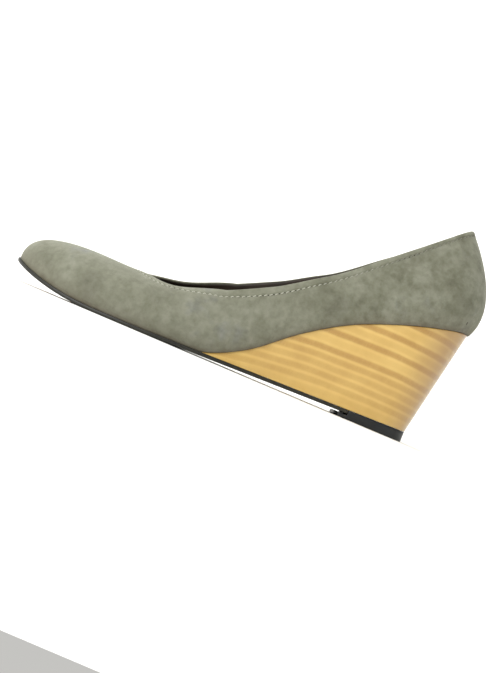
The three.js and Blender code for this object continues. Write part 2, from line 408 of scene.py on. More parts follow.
def make_suede():
    material, tree, shader, place = start_material("grey_suede")
    noises = []
    for size, detail in ((CLOUD, 4.0), (PATCH, 3.0), (FLECK, 5.0), (FIBRE, 2.0)):
        looks = {"Vector": place, "Scale": 1 / size, "Detail": detail, "Roughness": 0.6}
        noises.append(add(tree, "ShaderNodeTexNoise", looks))
    cloud, patch, fleck, fibre = noises
    tone = add(tree, "ShaderNodeValToRGB", {"Fac": cloud.outputs["Fac"]})
    greys = ["#767668", "#828373", "#8d8e7f", "#848682"]
    set_ramp(tone, list(zip([0.28, 0.44, 0.60, 0.76], map(linear, greys))))
    apart = add(tree, "ShaderNodeSeparateXYZ", {"Vector": place})
    # Towards the heel the patches weigh more, so the counter is darker: partly its own mottling, partly
    # painted shade.
    mottle_and_painted_shade = add(
        tree,
        "ShaderNodeMapRange",
        {"Value": apart.outputs["X"], "From Min": -0.07, "From Max": 0.03, "To Min": 0.95, "To Max": 0.35},
    )
    patch_tone = add(tree, "ShaderNodeValToRGB", {"Fac": patch.outputs["Fac"]})
    set_ramp(patch_tone, [(0.36, linear("#d9d8d2")), (0.50, linear("#eeeeea")), (0.64, grey(1))])
    patched = add(
        tree,
        "ShaderNodeMix",
        {AMOUNT: mottle_and_painted_shade.outputs["Result"], UNDER: tone.outputs["Color"], OVER: patch_tone.outputs["Color"]},
        **MULTIPLY,
    )
    fleck_tone = add(tree, "ShaderNodeValToRGB", {"Fac": fleck.outputs["Fac"]})
    set_ramp(fleck_tone, [(0.28, linear("#d8d8d2")), (0.62, grey(1))])
    flecked = add(
        tree,
        "ShaderNodeMix",
        {AMOUNT: 0.75, UNDER: patched.outputs[MIXED], OVER: fleck_tone.outputs["Color"]},
        **MULTIPLY,
    )
    # Low on the wall, near the feather line, the suede is mixed towards dark brown: partly soil, partly
    # painted shade.
    height = add(tree, "ShaderNodeAttribute", attribute_name="wall_height")
    soil_and_shade = add(tree, "ShaderNodeValToRGB", {"Fac": height.outputs["Fac"]})
    set_ramp(soil_and_shade, [(0.0, grey(0.6)), (0.05, grey(0.22)), (0.2, grey(0))])
    darkened = add(
        tree,
        "ShaderNodeMix",
        {AMOUNT: soil_and_shade.outputs["Color"], UNDER: flecked.outputs[MIXED], OVER: linear("#5a4e40")},
        **BLEND,
    )
    nap = add(tree, "ShaderNodeBump", {"Height": fibre.outputs["Fac"], "Strength": 0.55, "Distance": 0.0004})
    flecks = {"Height": fleck.outputs["Fac"], "Strength": 0.35, "Distance": 0.0006}
    brushed = add(tree, "ShaderNodeBump", {**flecks, "Normal": nap.outputs["Normal"]})
    finish = {
        "Base Color": darkened.outputs[MIXED],
        "Roughness": 0.93,
        "IOR": 1.45,
        "Specular IOR Level": 0.25,
        "Sheen Weight": 0.35,
        "Sheen Roughness": 0.45,
        "Sheen Tint": linear("#d8d8cc"),
        "Normal": brushed.outputs["Normal"],
    }
    feed(tree, shader, finish)
    return material


suede = make_suede()
print("suede clouds", CLOUD / MM, "mm, flecks", FLECK / MM, "mm")

# %% [markdown]
# ## Upper
#
# The upper is one skin, stretched wet over the last and turned under at the feather line. At the
# collar its edge is folded over and sewn down a few millimetres below, so the edge is plump and the
# seam sinks in. The seam's trough, the fold and a few soft hollows where the skin gives are real
# shape. Sculpting could make them, but a sum of small smooth hills keeps them in the shoe's sizes.

# %% Upper, its seam and its creases
SUEDE_THICKNESS = 1.3
FOLD_SWELL = 0.22
SEAM_DEPTH = 0.35
SEAM_HALF = 0.55
UPPER_COLUMNS = 600
FINE_ROWS = 31
FINE_STEP = 0.26
PLAIN_ROWS = 62
LIP_STEPS = 7
FOOT_ROUND = 0.3
FOOT_DROP = 0.25
INNER_ROWS = 10
WALL_SAMPLES = 241
SEAM_DISTANCE = [3.3, 3.3, 3.3, 4.2, 4.4, 5.1, 5.2, 6.2, 6.6, 6.1, 6.0]
seam_depth_line = around(SEAM_DISTANCE, SEAM_DISTANCE)

# Each soft crease: its middle and half lengths in u and v, and its height in millimetres.
CREASES = [
    {"u": 0.135, "v": 0.62, "half_u": 0.010, "half_v": 0.30, "height": -0.35},
    {"u": 0.185, "v": 0.40, "half_u": 0.030, "half_v": 0.22, "height": 0.40},
    {"u": 0.255, "v": 0.55, "half_u": 0.022, "half_v": 0.30, "height": -0.45},
    {"u": 0.345, "v": 0.45, "half_u": 0.012, "half_v": 0.35, "height": -0.40},
    {"u": 0.372, "v": 0.50, "half_u": 0.010, "half_v": 0.30, "height": 0.25},
    {"u": 0.865, "v": 0.60, "half_u": 0.012, "half_v": 0.30, "height": -0.35},
    {"u": 0.745, "v": 0.50, "half_u": 0.026, "half_v": 0.28, "height": -0.50},
    {"u": 0.655, "v": 0.45, "half_u": 0.012, "half_v": 0.35, "height": -0.40},
    {"u": 0.628, "v": 0.50, "half_u": 0.010, "half_v": 0.30, "height": 0.25},
    {"u": 0.500, "v": 0.30, "half_u": 0.050, "half_v": 0.20, "height": 0.30},
]


def down_from_collar(u, distances):
    """The v that lies each distance below the collar edge, in millimetres along the wall."""
    fine = np.linspace(1, 0, WALL_SAMPLES)
    line = wall(u[:, None], fine[None, :])
    steps = np.linalg.norm(np.diff(line, axis=1), axis=2)
    length = np.concatenate([np.zeros((len(u), 1)), np.cumsum(steps, axis=1)], 1)
    v = np.stack([np.interp(distances[i], length[i], fine) for i in range(len(u))])
    return v, length[:, -1]


def wall_rows(u):
    """Distances of the wall's rows below the collar: fine at the fold and seam, then even."""
    _, total = down_from_collar(u, np.zeros((len(u), 1)))
    fine = SUEDE_THICKNESS / 2 + FINE_STEP * np.arange(FINE_ROWS)
    start, end = fine[-1] + FINE_STEP, total - FOOT_ROUND
    plain = start + (end - start)[:, None] * np.linspace(0, 1, PLAIN_ROWS)[None, :]
    return np.concatenate([np.tile(fine, (len(u), 1)), plain], 1), total


def relief(u, v, distance):
    """How far the skin stands proud of the last, in millimetres."""
    seam = seam_depth_line(u)[:, None]
    fold = FOLD_SWELL * np.exp(-(((distance - seam * 0.5) / (seam * 0.35)) ** 2))
    trough = SEAM_DEPTH * np.exp(-(((distance - seam) / SEAM_HALF) ** 2))
    height = fold - trough
    for c in CREASES:
        height = height + c["height"] * np.exp(
            -(((u[:, None] - c["u"]) / c["half_u"]) ** 2) - (((v - c["v"]) / c["half_v"]) ** 2)
        )
    return height


upper_u = np.linspace(0, 1, UPPER_COLUMNS, endpoint=False)
row_distance, wall_length = wall_rows(upper_u)
row_v, _ = down_from_collar(upper_u, row_distance)
grid_u = np.repeat(upper_u[:, None], row_v.shape[1], 1)
skin_out = wall_out(grid_u, row_v)
skin = wall(grid_u, row_v) + skin_out * relief(upper_u, row_v, row_distance)[..., None]


def turned_edge(u, v, radius, upwards, steps):
    """The half round at an edge of the wall, from its outer to its inner face."""
    out = wall_out(u, np.full(len(u), v))
    up = unit(wall(u, np.full(len(u), min(v + PROBE, 1))) - wall(u, np.full(len(u), max(v - PROBE, 0))))
    middle = wall(u, np.full(len(u), v)) - out * radius - up * radius * upwards
    loops = []
    for angle in np.linspace(0, math.pi, steps + 2):
        loops.append(middle + radius * (out * math.cos(angle) + up * upwards * math.sin(angle)))
    return loops


lip = turned_edge(upper_u, 1.0, SUEDE_THICKNESS / 2, 1, LIP_STEPS)
inner_v = np.linspace(0.97, 0.03, INNER_ROWS)
inner_face = [
    wall(upper_u, np.full(UPPER_COLUMNS, v)) - wall_out(upper_u, np.full(UPPER_COLUMNS, v)) * SUEDE_THICKNESS
    for v in inner_v
]


def foot_edge(u):
    """The lower edge of the wall, flat with small round corners, from its inner to its outer face."""
    low, out = wall(u, np.zeros(len(u))), outward(feather, u)
    corner = FOOT_ROUND * MID_ROUND
    inset = [SUEDE_THICKNESS, SUEDE_THICKNESS - corner, SUEDE_THICKNESS - FOOT_ROUND, FOOT_ROUND, corner, 0.0]
    rise = [FOOT_ROUND, corner, 0.0, 0.0, corner, FOOT_ROUND]
    return [
        low - np.column_stack([out * depth, np.full(len(u), FOOT_DROP - up)])
        for depth, up in zip(inset, rise)
    ]


foot_turn = foot_edge(upper_u)
outer_loops = [skin[:, j] for j in range(skin.shape[1])][::-1]
loops = outer_loops + lip[1:] + inner_face + foot_turn
shares = (
    [row_v[:, j] for j in range(skin.shape[1])][::-1]
    + [np.ones(UPPER_COLUMNS)] * (len(lip) - 1)
    + [np.full(UPPER_COLUMNS, v) for v in inner_v]
    + [np.zeros(UPPER_COLUMNS)] * len(foot_turn)
)
upper_faces = ring_faces(len(loops), UPPER_COLUMNS, closed=True)
upper = make_piece("upper_skin", np.concatenate(loops), upper_faces, [suede])
height_share = upper.data.attributes.new("wall_height", "FLOAT", "POINT")
height_share.data.foreach_set("value", np.concatenate(shares).astype(np.float32))
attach(upper, "root")
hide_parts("upper")

# %% [markdown]
# ## Lining
#
# Inside, a court shoe is lined with thin smooth leather, glued to the back of the suede and trimmed
# just below the folded edge. Here it is a ring of its own, thinner than the suede, so the collar
# shows the two layers side by side.

# %% Leather of the lining and sock
PORE = 0.0009


def make_leather(name, dark, light, roughness):
    """Smooth aniline leather: soft tone changes, fine pores and a satin finish."""
    material, tree, shader, place = start_material(name)
    tone = add(tree, "ShaderNodeTexNoise", {"Vector": place, "Scale": 60.0, "Detail": 4.0, "Roughness": 0.6})
    ramp = add(tree, "ShaderNodeValToRGB", {"Fac": tone.outputs["Fac"]})
    set_ramp(ramp, [(0.32, linear(dark)), (0.70, linear(light))])
    pores = add(tree, "ShaderNodeTexVoronoi", {"Vector": place, "Scale": 1 / PORE}, feature="F1")
    pitted = {"Height": pores.outputs["Distance"], "Strength": 0.25, "Distance": 0.0002}
    bump = add(tree, "ShaderNodeBump", pitted)
    finish = {
        "Base Color": ramp.outputs["Color"],
        "Normal": bump.outputs["Normal"],
        "Roughness": roughness,
        "IOR": 1.5,
        "Specular IOR Level": 0.4,
    }
    feed(tree, shader, finish)
    return material


# The lining's browns are its own dark colour, made darker still as painted shade for the unlit inside.
lining_leather_painted_shade = make_leather("lining_leather_painted_shade", "#2c2620", "#463b31", 0.55)
sock_leather = make_leather("sock_leather", "#4b3c30", "#6f5a48", 0.5)

# %% Lining
LINING_THICKNESS = 0.6
LINING_DROP = 0.35
LINING_COLUMNS = 320
LINING_ROWS = 34
LINING_REACH = 0.985
LINING_GLUE = 0.02

lining_u = np.linspace(0, 1, LINING_COLUMNS, endpoint=False)
lining_total = down_from_collar(lining_u, np.zeros((LINING_COLUMNS, 1)))[1]
share = np.linspace(0, 1, LINING_ROWS)
lining_distance = LINING_DROP + share[None, :] * (lining_total[:, None] * LINING_REACH - LINING_DROP)
lining_v = down_from_collar(lining_u, lining_distance)[0]


def lining_loop(row, depth):
    v = lining_v[:, row]
    return wall(lining_u, v) - wall_out(lining_u, v) * depth


near, far = SUEDE_THICKNESS + LINING_GLUE, SUEDE_THICKNESS + LINING_THICKNESS
lining_loops = [lining_loop(row, near) for row in range(LINING_ROWS - 1, -1, -4)]
lining_loops += [lining_loop(row, far) for row in range(LINING_ROWS)]
lining_faces = ring_faces(len(lining_loops), LINING_COLUMNS, closed=True)
lining = make_piece("lining", np.concatenate(lining_loops), lining_faces, [lining_leather_painted_shade])
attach(lining, "root")
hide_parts("upper")

# %% [markdown]
# ## Stitches
#
# One row of lockstitches holds the fold down. Each stitch is a short length of thread that comes up
# out of one needle hole and goes down in the next, so it arches a little between two dark holes. An
# array along a curve would do, but a loop can set each stitch square to the bent wall. The pull of
# the two threads turns each stitch a little across the seam. Low on the counter the skin has one
# short nick, which is made like a needle hole.

# %% Thread and needle holes
STITCH_PITCH = 2.85
STITCH_LENGTH = 1.9
STITCH_SLANT = 0.4
THREAD_RADIUS = 0.29
THREAD_SIDES = 8
THREAD_RINGS = 7
HOLE_RADIUS = 0.42


def make_thread():
    """Polyester sewing thread: pale, twisted, with a slight lustre."""
    material, tree, shader, place = start_material("pale_thread")
    twist = add(tree, "ShaderNodeTexWave", {"Vector": place, "Scale": 900.0, "Distortion": 0.0},
                wave_type="BANDS", bands_direction="DIAGONAL")
    ramp = add(tree, "ShaderNodeValToRGB", {"Fac": twist.outputs["Fac"]})
    set_ramp(ramp, [(0.0, linear("#a3a393")), (1.0, linear("#cbcbbc"))])
    # Towards the heel the thread is mixed towards a darker grey.
    apart = add(tree, "ShaderNodeSeparateXYZ", {"Vector": place})
    toward_heel = add(
        tree,
        "ShaderNodeMapRange",
        {"Value": apart.outputs["X"], "From Min": -0.07, "From Max": -0.02, "To Min": 0.8, "To Max": 0.0},
    )
    darkened = add(
        tree,
        "ShaderNodeMix",
        {AMOUNT: toward_heel.outputs["Result"], UNDER: ramp.outputs["Color"], OVER: linear("#6d6c5f")},
        **BLEND,
    )
    bump = add(tree, "ShaderNodeBump", {"Height": twist.outputs["Fac"], "Strength": 0.5, "Distance": 0.0001})
    finish = {
        "Base Color": darkened.outputs[MIXED],
        "Normal": bump.outputs["Normal"],
        "Roughness": 0.55,
        "IOR": 1.5,
    }
    feed(tree, shader, finish)
    return material


def make_hole():
    """The shadow in a needle hole or a nick, on the cut fibres of the suede."""
    material, tree, shader, place = start_material("needle_hole")
    fibre = add(tree, "ShaderNodeTexNoise", {"Vector": place, "Scale": 1 / FIBRE})
    ramp = add(tree, "ShaderNodeValToRGB", {"Fac": fibre.outputs["Fac"]})
    set_ramp(ramp, [(0.3, linear("#2f302a")), (0.7, linear("#45463e"))])
    feed(tree, shader, {"Base Color": ramp.outputs["Color"], "Roughness": 0.95})
    return material


seam_u = np.linspace(0, 1, 3001)
seam_v = down_from_collar(seam_u, seam_depth_line(seam_u)[:, None])[0][:, 0]
seam_line = wall(seam_u, seam_v)
seam_length = np.concatenate([[0], np.cumsum(np.linalg.norm(np.diff(seam_line, axis=0), axis=1))])
stitch_count = round(seam_length[-1] / STITCH_PITCH)
pitch = seam_length[-1] / stitch_count


def on_seam(length):
    """Points on the bottom of the seam's trough, and the directions out of the wall there."""
    u = np.interp(np.mod(length, seam_length[-1]), seam_length, seam_u)
    v = np.interp(u, seam_u, seam_v)
    out = wall_out(u, v)
    return wall(u, v) - out * SEAM_DEPTH, out


def capped_tube(rings):
    """Faces of a tube of rings with both ends closed."""
    ends = [tuple(range(THREAD_SIDES)), tuple(range((rings - 1) * THREAD_SIDES, rings * THREAD_SIDES))]
    return ring_faces(rings, THREAD_SIDES) + ends


thread_points, thread_faces, thread_groups = [], [], []
turn = np.linspace(0, 2 * math.pi, THREAD_SIDES, endpoint=False)
for i in range(stitch_count):
    along = np.linspace(0, 1, THREAD_RINGS)
    centre, out = on_seam(i * pitch + along * STITCH_LENGTH)
    run = unit(np.gradient(centre, axis=0))
    side = np.cross(run, out)
    centre = centre + side * (STITCH_SLANT * (0.5 - along))[:, None]
    arch = THREAD_RADIUS * (1.6 * np.sin(math.pi * along) - 0.5)
    radius = THREAD_RADIUS * np.sqrt(np.clip(1 - (2 * along - 1) ** 4, 0.04, 1))
    start = len(thread_points) * THREAD_SIDES
    for k in range(THREAD_RINGS):
        ring = centre[k] + out[k] * arch[k] + radius[k] * (
            np.cos(turn)[:, None] * out[k] + np.sin(turn)[:, None] * side[k]
        )
        thread_points.append(ring)
    faces = capped_tube(THREAD_RINGS)
    thread_faces += [tuple(start + j for j in face) for face in faces]
    thread_groups += [0] * len(faces)


def dimple(centre, out, run, half_run, half_side):
    """A small flat hollow in the skin: three rings, from its buried rim to its middle."""
    side = np.cross(run, out)
    reach = np.cos(turn)[:, None] * run * half_run + np.sin(turn)[:, None] * side * half_side
    return [centre + out * lift + reach * share for share, lift in ((1.0, -0.12), (0.75, 0.03), (0.2, 0.05))]


NICK = {"u": 0.054, "low_v": 0.075, "high_v": 0.125, "half_width": 0.45}
dimples = []
for i in range(stitch_count):
    centre, out = on_seam(np.array([i * pitch - (pitch - STITCH_LENGTH) / 2, i * pitch]))
    dimples.append(dimple(centre[0], out[0], unit(centre[1] - centre[0]), HOLE_RADIUS, HOLE_RADIUS))
nick_ends = wall(np.full(2, NICK["u"]), np.array([NICK["low_v"], NICK["high_v"]]))
nick_out = wall_out(np.full(1, NICK["u"]), np.array([(NICK["low_v"] + NICK["high_v"]) / 2]))[0]
nick_half = (nick_ends[1] - nick_ends[0]) / 2
dimples.append(
    dimple(nick_ends.mean(axis=0), nick_out, unit(nick_half), np.linalg.norm(nick_half), NICK["half_width"])
)
for rings in dimples:
    start = len(thread_points) * THREAD_SIDES
    thread_points += rings
    faces = capped_tube(3)
    thread_faces += [tuple(start + j for j in face) for face in faces]
    thread_groups += [1] * len(faces)
stitches = make_piece("collar_stitches", np.concatenate(thread_points), thread_faces,
                      [make_thread(), make_hole()], thread_groups)
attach(stitches, "root")
print(stitch_count, "stitches,", round(pitch, 2), "mm apart")

# %% [markdown]
# ## Flat bodies
#
# Sock, wedge, outsole and top lift all have an outline in plan and two faces that follow the seat or
# the floor. A maker cuts them from sheet and trims the edge. Here they share one function: levels of
# points go up the edge, and a lid of rows across the foot closes each end.


# %% Helpers for flat bodies
def place_of(plan, x):
    """The place u on the outer side at which a plan outline reaches x."""
    u = np.linspace(0, 0.5, FINE_POINTS)
    return float(np.interp(x, plan(u)[:, 0], u))


def rows(plan, u, height):
    """A row of points along the outer side and one along the inner side."""
    sides = []
    for side in (1, -1):
        flat = plan(side * u)
        sides.append(np.column_stack([flat, height(flat[:, 0])]))
    return sides


def flat_body(name, levels, across, materials, groups=(0, 0, 0), lid=None):
    """A closed body from levels, lowest first. groups gives the material of side, under and upper face."""
    size = 2 * len(levels[0][0])
    points = [np.concatenate([outer, inner[::-1]]) for outer, inner in levels]
    faces = ring_faces(len(levels), size)
    face_groups = [groups[0]] * len(faces)
    start = len(levels) * size
    share = np.linspace(0, 1, across + 1)
    stations = len(levels[0][0])
    for (outer, inner), group in ((levels[0], groups[1]), (levels[-1], groups[2])):
        sheet = outer[:, None] * (1 - share)[None, :, None] + inner[:, None] * share[None, :, None]
        if lid is not None:
            sheet[..., 2] += lid(sheet, share, group)
        points.append(sheet.reshape(-1, 3))
        for i in range(stations - 1):
            for j in range(across):
                a = start + i * (across + 1) + j
                faces.append((a, a + 1, a + across + 2, a + across + 1))
                face_groups.append(group)
        start += stations * (across + 1)
    return make_piece(name, np.concatenate(points), faces, materials, face_groups)


# %% [markdown]
# ## Sock
#
# The foot stands on the sock, a leather sheet glued over the insole board. It follows the seat of
# the wedge, and its edge lies against the lining, which leans out from it. A foot presses it a
# little at heel and ball, so its upper face is dished by less than a millimetre.

# %% Sock and insole board
SOCK_THICKNESS = 2.2
SOCK_ROUND = 0.5
SOCK_DISH = 0.5
GLUE = 0.05
SOCK_STATIONS = 140
sock_u = np.linspace(0, 0.5, SOCK_STATIONS)


def sock_level(inset, rise):
    """Points along the inner face of the lining, at a height above the seat."""
    sides = []
    low_v = np.linspace(0, 0.5, 60)
    for side in (1, -1):
        line = wall(side * sock_u[:, None], low_v[None, :])
        climb = line[..., 2] - line[:, :1, 2]
        v = np.array([np.interp(rise, climb[i], low_v) for i in range(len(sock_u))])
        depth = SUEDE_THICKNESS + LINING_THICKNESS + inset
        point = wall(side * sock_u, v) - wall_out(side * sock_u, v) * depth
        point[:, 2] = seat(point[:, 0]) + GLUE + rise
        sides.append(point)
    return sides


def dish(sheet, share, group):
    """The upper face sinks towards the middle of the foot."""
    if group == 0:
        return 0
    return -SOCK_DISH * (1 - (2 * share[None, :] - 1) ** 2) ** 0.8


quarter = np.linspace(0, math.pi / 2, 5)
sock_levels = [sock_level(0, 0), sock_level(0, SOCK_THICKNESS - SOCK_ROUND)]
sock_levels += [
    sock_level(SOCK_ROUND * (1 - math.cos(a)), SOCK_THICKNESS - SOCK_ROUND * (1 - math.sin(a)))
    for a in quarter[1:]
]
sock = flat_body("sock", sock_levels, 26, [lining_leather_painted_shade, sock_leather], (1, 0, 1), dish)
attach(sock, "root")
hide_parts("insole")

# %% [markdown]
# ## Stacked layers
#
# The wedge looks like a stack of thin boards: bands a few millimetres thick, a narrow pale line at
# each joint, and short upright grain. The layers were pressed in a curve, so they dip towards the
# tip and round the back. The height of a layer is therefore a parabola along the shoe. Over the
# stain lies a clear lacquer, a coat in the shader, which reflects the room more sharply than wood.

# %% Layered wood material
LAYER = 4.53 * MM
FIRST_JOINT = 6.2 * MM
LAYER_CURVE = 1.02
LAYER_TOP_X = 40.0 * MM
GRAIN_WIDTH = 0.00045
GRAIN_HEIGHT = 0.005
WOBBLE = 0.0012
REAR_REFLECTION = 0.015
# How dark each layer is stained, from the lowest up
STAIN = [0.20, 0.50, 0.55, 0.45, 0.60, 0.90, 0.20, 1.00, 0.30, 1.00, 0.25, 1.00, 0.30, 1.00]


def make_layered_wood():
    material, tree, shader, place = start_material("layered_wood")
    apart = add(tree, "ShaderNodeSeparateXYZ", {"Vector": place})
    wander = add(tree, "ShaderNodeTexNoise", {"Vector": place, "Scale": 45.0, "Detail": 2.0})

    def reckon(operation, a, b=0.0):
        return add(tree, "ShaderNodeMath", {0: a, 1: b}, operation=operation).outputs[0]

    from_top = reckon("SUBTRACT", apart.outputs["X"], LAYER_TOP_X + float(SHIFT[0]))
    dip = reckon("MULTIPLY", reckon("MULTIPLY", from_top, from_top), LAYER_CURVE)
    wobble = reckon("MULTIPLY", wander.outputs["Fac"], WOBBLE)
    height = reckon("ADD", reckon("ADD", apart.outputs["Z"], dip), wobble)
    counted = reckon("DIVIDE", reckon("SUBTRACT", height, FIRST_JOINT + WOBBLE / 2), LAYER)
    stain = add(tree, "ShaderNodeValToRGB", {"Fac": reckon("DIVIDE", counted, float(len(STAIN)))})
    set_ramp(stain, [(i / len(STAIN), grey(s)) for i, s in enumerate(STAIN)], "CONSTANT")
    band = add(tree, "ShaderNodeValToRGB", {"Fac": reckon("FRACT", counted)})
    band_stops = [(0.0, 0.0), (0.09, 0.1), (0.26, 0.85), (0.5, 1.0), (0.74, 0.85), (0.91, 0.1), (1.0, 0.0)]
    set_ramp(band, [(position, grey(s)) for position, s in band_stops])
    squeeze = add(
        tree,
        "ShaderNodeMapping",
        {"Vector": place, "Scale": (1 / GRAIN_WIDTH, 1 / GRAIN_WIDTH, 1 / GRAIN_HEIGHT)},
    )
    grain = add(
        tree,
        "ShaderNodeTexNoise",
        {"Vector": squeeze.outputs["Vector"], "Scale": 1.0, "Detail": 3.0, "Roughness": 0.7},
    )
    grain_stain = add(
        tree,
        "ShaderNodeMapRange",
        {"Value": grain.outputs["Fac"], "From Min": 0.3, "From Max": 0.7, "To Min": 0.80, "To Max": 1.15},
    )
    layered = reckon("MULTIPLY", stain.outputs["Color"], band.outputs["Color"])
    dark = reckon("MULTIPLY", layered, grain_stain.outputs["Result"])
    tones = {AMOUNT: dark, UNDER: linear("#dcb868"), OVER: linear("#b68d45")}
    wood = add(tree, "ShaderNodeMix", tones, **BLEND)
    blotch = add(tree, "ShaderNodeTexNoise", {"Vector": place, "Scale": 70.0, "Detail": 3.0})
    blotch_tone = add(tree, "ShaderNodeValToRGB", {"Fac": blotch.outputs["Fac"]})
    set_ramp(blotch_tone, [(0.30, linear("#ede6d8")), (0.65, grey(1))])
    blotched = add(
        tree,
        "ShaderNodeMix",
        {AMOUNT: 0.8, UNDER: wood.outputs[MIXED], OVER: blotch_tone.outputs["Color"]},
        **MULTIPLY,
    )
    # Near the back edge the wood is mixed towards a dull brown: a painted reflection where the lacquer turns
    # away from view.
    back = float(SHIFT[0]) + BOTTOM["x"][0] * LAST_LENGTH * MM
    reflection_span = {"From Min": back, "From Max": back + REAR_REFLECTION, "To Min": 0.6, "To Max": 0.0}
    rear_reflection = add(tree, "ShaderNodeMapRange", {"Value": apart.outputs["X"], **reflection_span})
    reflected = add(
        tree,
        "ShaderNodeMix",
        {AMOUNT: rear_reflection.outputs["Result"], UNDER: blotched.outputs[MIXED], OVER: linear("#a27e58")},
        **BLEND,
    )
    bump = add(tree, "ShaderNodeBump", {"Height": grain.outputs["Fac"], "Strength": 0.12, "Distance": 0.0002})
    finish = {
        "Base Color": reflected.outputs[MIXED],
        "Roughness": 0.38,
        "IOR": 1.5,
        "Coat Weight": 0.5,
        "Coat Roughness": 0.16,
        "Coat IOR": 1.5,
        "Normal": bump.outputs["Normal"],
    }
    feed(tree, shader, finish)
    return material


layered_wood = make_layered_wood()
print("wood layers", LAYER / MM, "mm thick")

# %% [markdown]
# ## Wedge
#
# The wedge is the heel and the arch in one. Its foot follows the narrow bottom line and its rim the
# wider feather line, so its sides lean out upwards. The cover meets itself in a seam down the back.
# Seam and joints are shallow grooves in the mesh, which catch a line of light or shade.

# %% Wedge
WEDGE_INSET = 1.0
WEDGE_TIP = 0.2
WEDGE_LEVELS = 150
WEDGE_ROUND = 0.35
BACK_SEAM_DEPTH = 0.3
BACK_SEAM_HALF = 0.22
JOINT_DEPTH = 0.05
JOINT_HALF = 0.3
OUTLINE_LENGTH = 560.0  # once round the feather line
WEDGE_STATIONS = 130
SEAM_STATIONS = 9
SEAM_STEP = 0.12
SEAM_PAST = 0.003

wedge_foot, wedge_rim = outline(BOTTOM), outline(FEATHER, -WEDGE_INSET)


def wedge_base(x):
    return sole_top(x) + GLUE


along_tip = np.linspace(0, WEDGE_LENGTH, 1301)
tip = along_tip[seat(along_tip) >= wedge_base(along_tip) + WEDGE_TIP].max()
seam_fine = np.arange(SEAM_STATIONS) * SEAM_STEP / OUTLINE_LENGTH
foot_u = np.concatenate([seam_fine, np.linspace(SEAM_PAST, place_of(wedge_foot, tip), WEDGE_STATIONS)])
rim_u = np.concatenate([seam_fine, np.linspace(SEAM_PAST, place_of(wedge_rim, tip), WEDGE_STATIONS)])
back_seam = BACK_SEAM_DEPTH * np.exp(-((foot_u * OUTLINE_LENGTH / BACK_SEAM_HALF) ** 2))


def joint_groove(outer):
    """How deep the joints between layers cut into a row of points."""
    height = outer[:, 2] + LAYER_CURVE * MM * (outer[:, 0] - LAYER_TOP_X / MM) ** 2
    off = np.mod(height - FIRST_JOINT / MM + LAYER / MM / 2, LAYER / MM) - LAYER / MM / 2
    return JOINT_DEPTH * np.exp(-((off / JOINT_HALF) ** 2))


def wedge_level(share, inset):
    def mixed(margin):
        low = rows(outline(BOTTOM, -margin), foot_u, wedge_base)
        high = rows(outline(FEATHER, -WEDGE_INSET - margin), rim_u, seat)
        return [a * (1 - share) + b * share for a, b in zip(low, high)]

    plain = mixed(np.full(len(foot_u), inset))
    return mixed(inset + back_seam + joint_groove(plain[0]))


turned = [(0.0, WEDGE_ROUND), (0.002, WEDGE_ROUND * MID_ROUND), (0.006, 0.0)]
between = [(s, 0.0) for s in np.linspace(0.012, 0.988, WEDGE_LEVELS)]
upper_turn = [(1 - s, i) for s, i in turned[::-1]]
wedge_levels = [wedge_level(s, i) for s, i in turned + between + upper_turn]
wedge = flat_body("wedge", wedge_levels, 4, [layered_wood])
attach(wedge, "root")
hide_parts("wedge")

# %% [markdown]
# ## Outsole
#
# The outsole is a sheet of leather, dyed tan below and painted black round its cut edge. Its fibres
# show as fine streaks along the foot. It darkens to olive brown towards the ball. Two materials on
# one mesh keep the edge of the paint crisp.

# %% Outsole materials
STREAK_WIDTH = 0.0007
STREAK_LENGTH = 0.018


def make_sole_leather():
    material, tree, shader, place = start_material("sole_leather")
    apart = add(tree, "ShaderNodeSeparateXYZ", {"Vector": place})
    squeeze = add(
        tree,
        "ShaderNodeMapping",
        {"Vector": place, "Scale": (1 / STREAK_LENGTH, 1 / STREAK_WIDTH, 1 / STREAK_WIDTH)},
    )
    along_foot = {"Vector": squeeze.outputs["Vector"], "Scale": 1.0, "Detail": 4.0}
    streak = add(tree, "ShaderNodeTexNoise", along_foot)
    cloud = add(tree, "ShaderNodeTexNoise", {"Vector": place, "Scale": 38.0, "Detail": 4.0, "Roughness": 0.6})
    spread = add(tree, "ShaderNodeMath", {0: cloud.outputs["Fac"], 1: 0.05}, operation="MULTIPLY")
    where = add(tree, "ShaderNodeMath", {0: apart.outputs["X"], 1: spread.outputs[0]}, operation="ADD")
    along = add(tree, "ShaderNodeMapRange", {"Value": where.outputs[0], "From Min": -0.05, "From Max": 0.145})
    tone = add(tree, "ShaderNodeValToRGB", {"Fac": along.outputs["Result"]})
    tones = ["#a8916a", "#9c8354", "#7d683a", "#745f33", "#aa875c", "#bf9776"]
    set_ramp(tone, list(zip([0.0, 0.30, 0.46, 0.62, 0.82, 1.0], map(linear, tones))))
    streak_tone = add(tree, "ShaderNodeValToRGB", {"Fac": streak.outputs["Fac"]})
    set_ramp(streak_tone, [(0.30, linear("#d8cdb8")), (0.65, grey(1))])
    streaked = add(
        tree,
        "ShaderNodeMix",
        {AMOUNT: 0.8, UNDER: tone.outputs["Color"], OVER: streak_tone.outputs["Color"]},
        **MULTIPLY,
    )
    bump = add(tree, "ShaderNodeBump", {"Height": streak.outputs["Fac"], "Strength": 0.2, "Distance": 0.0003})
    finish = {
        "Base Color": streaked.outputs[MIXED],
        "Normal": bump.outputs["Normal"],
        "Roughness": 0.5,
        "IOR": 1.5,
    }
    feed(tree, shader, finish)
    return material


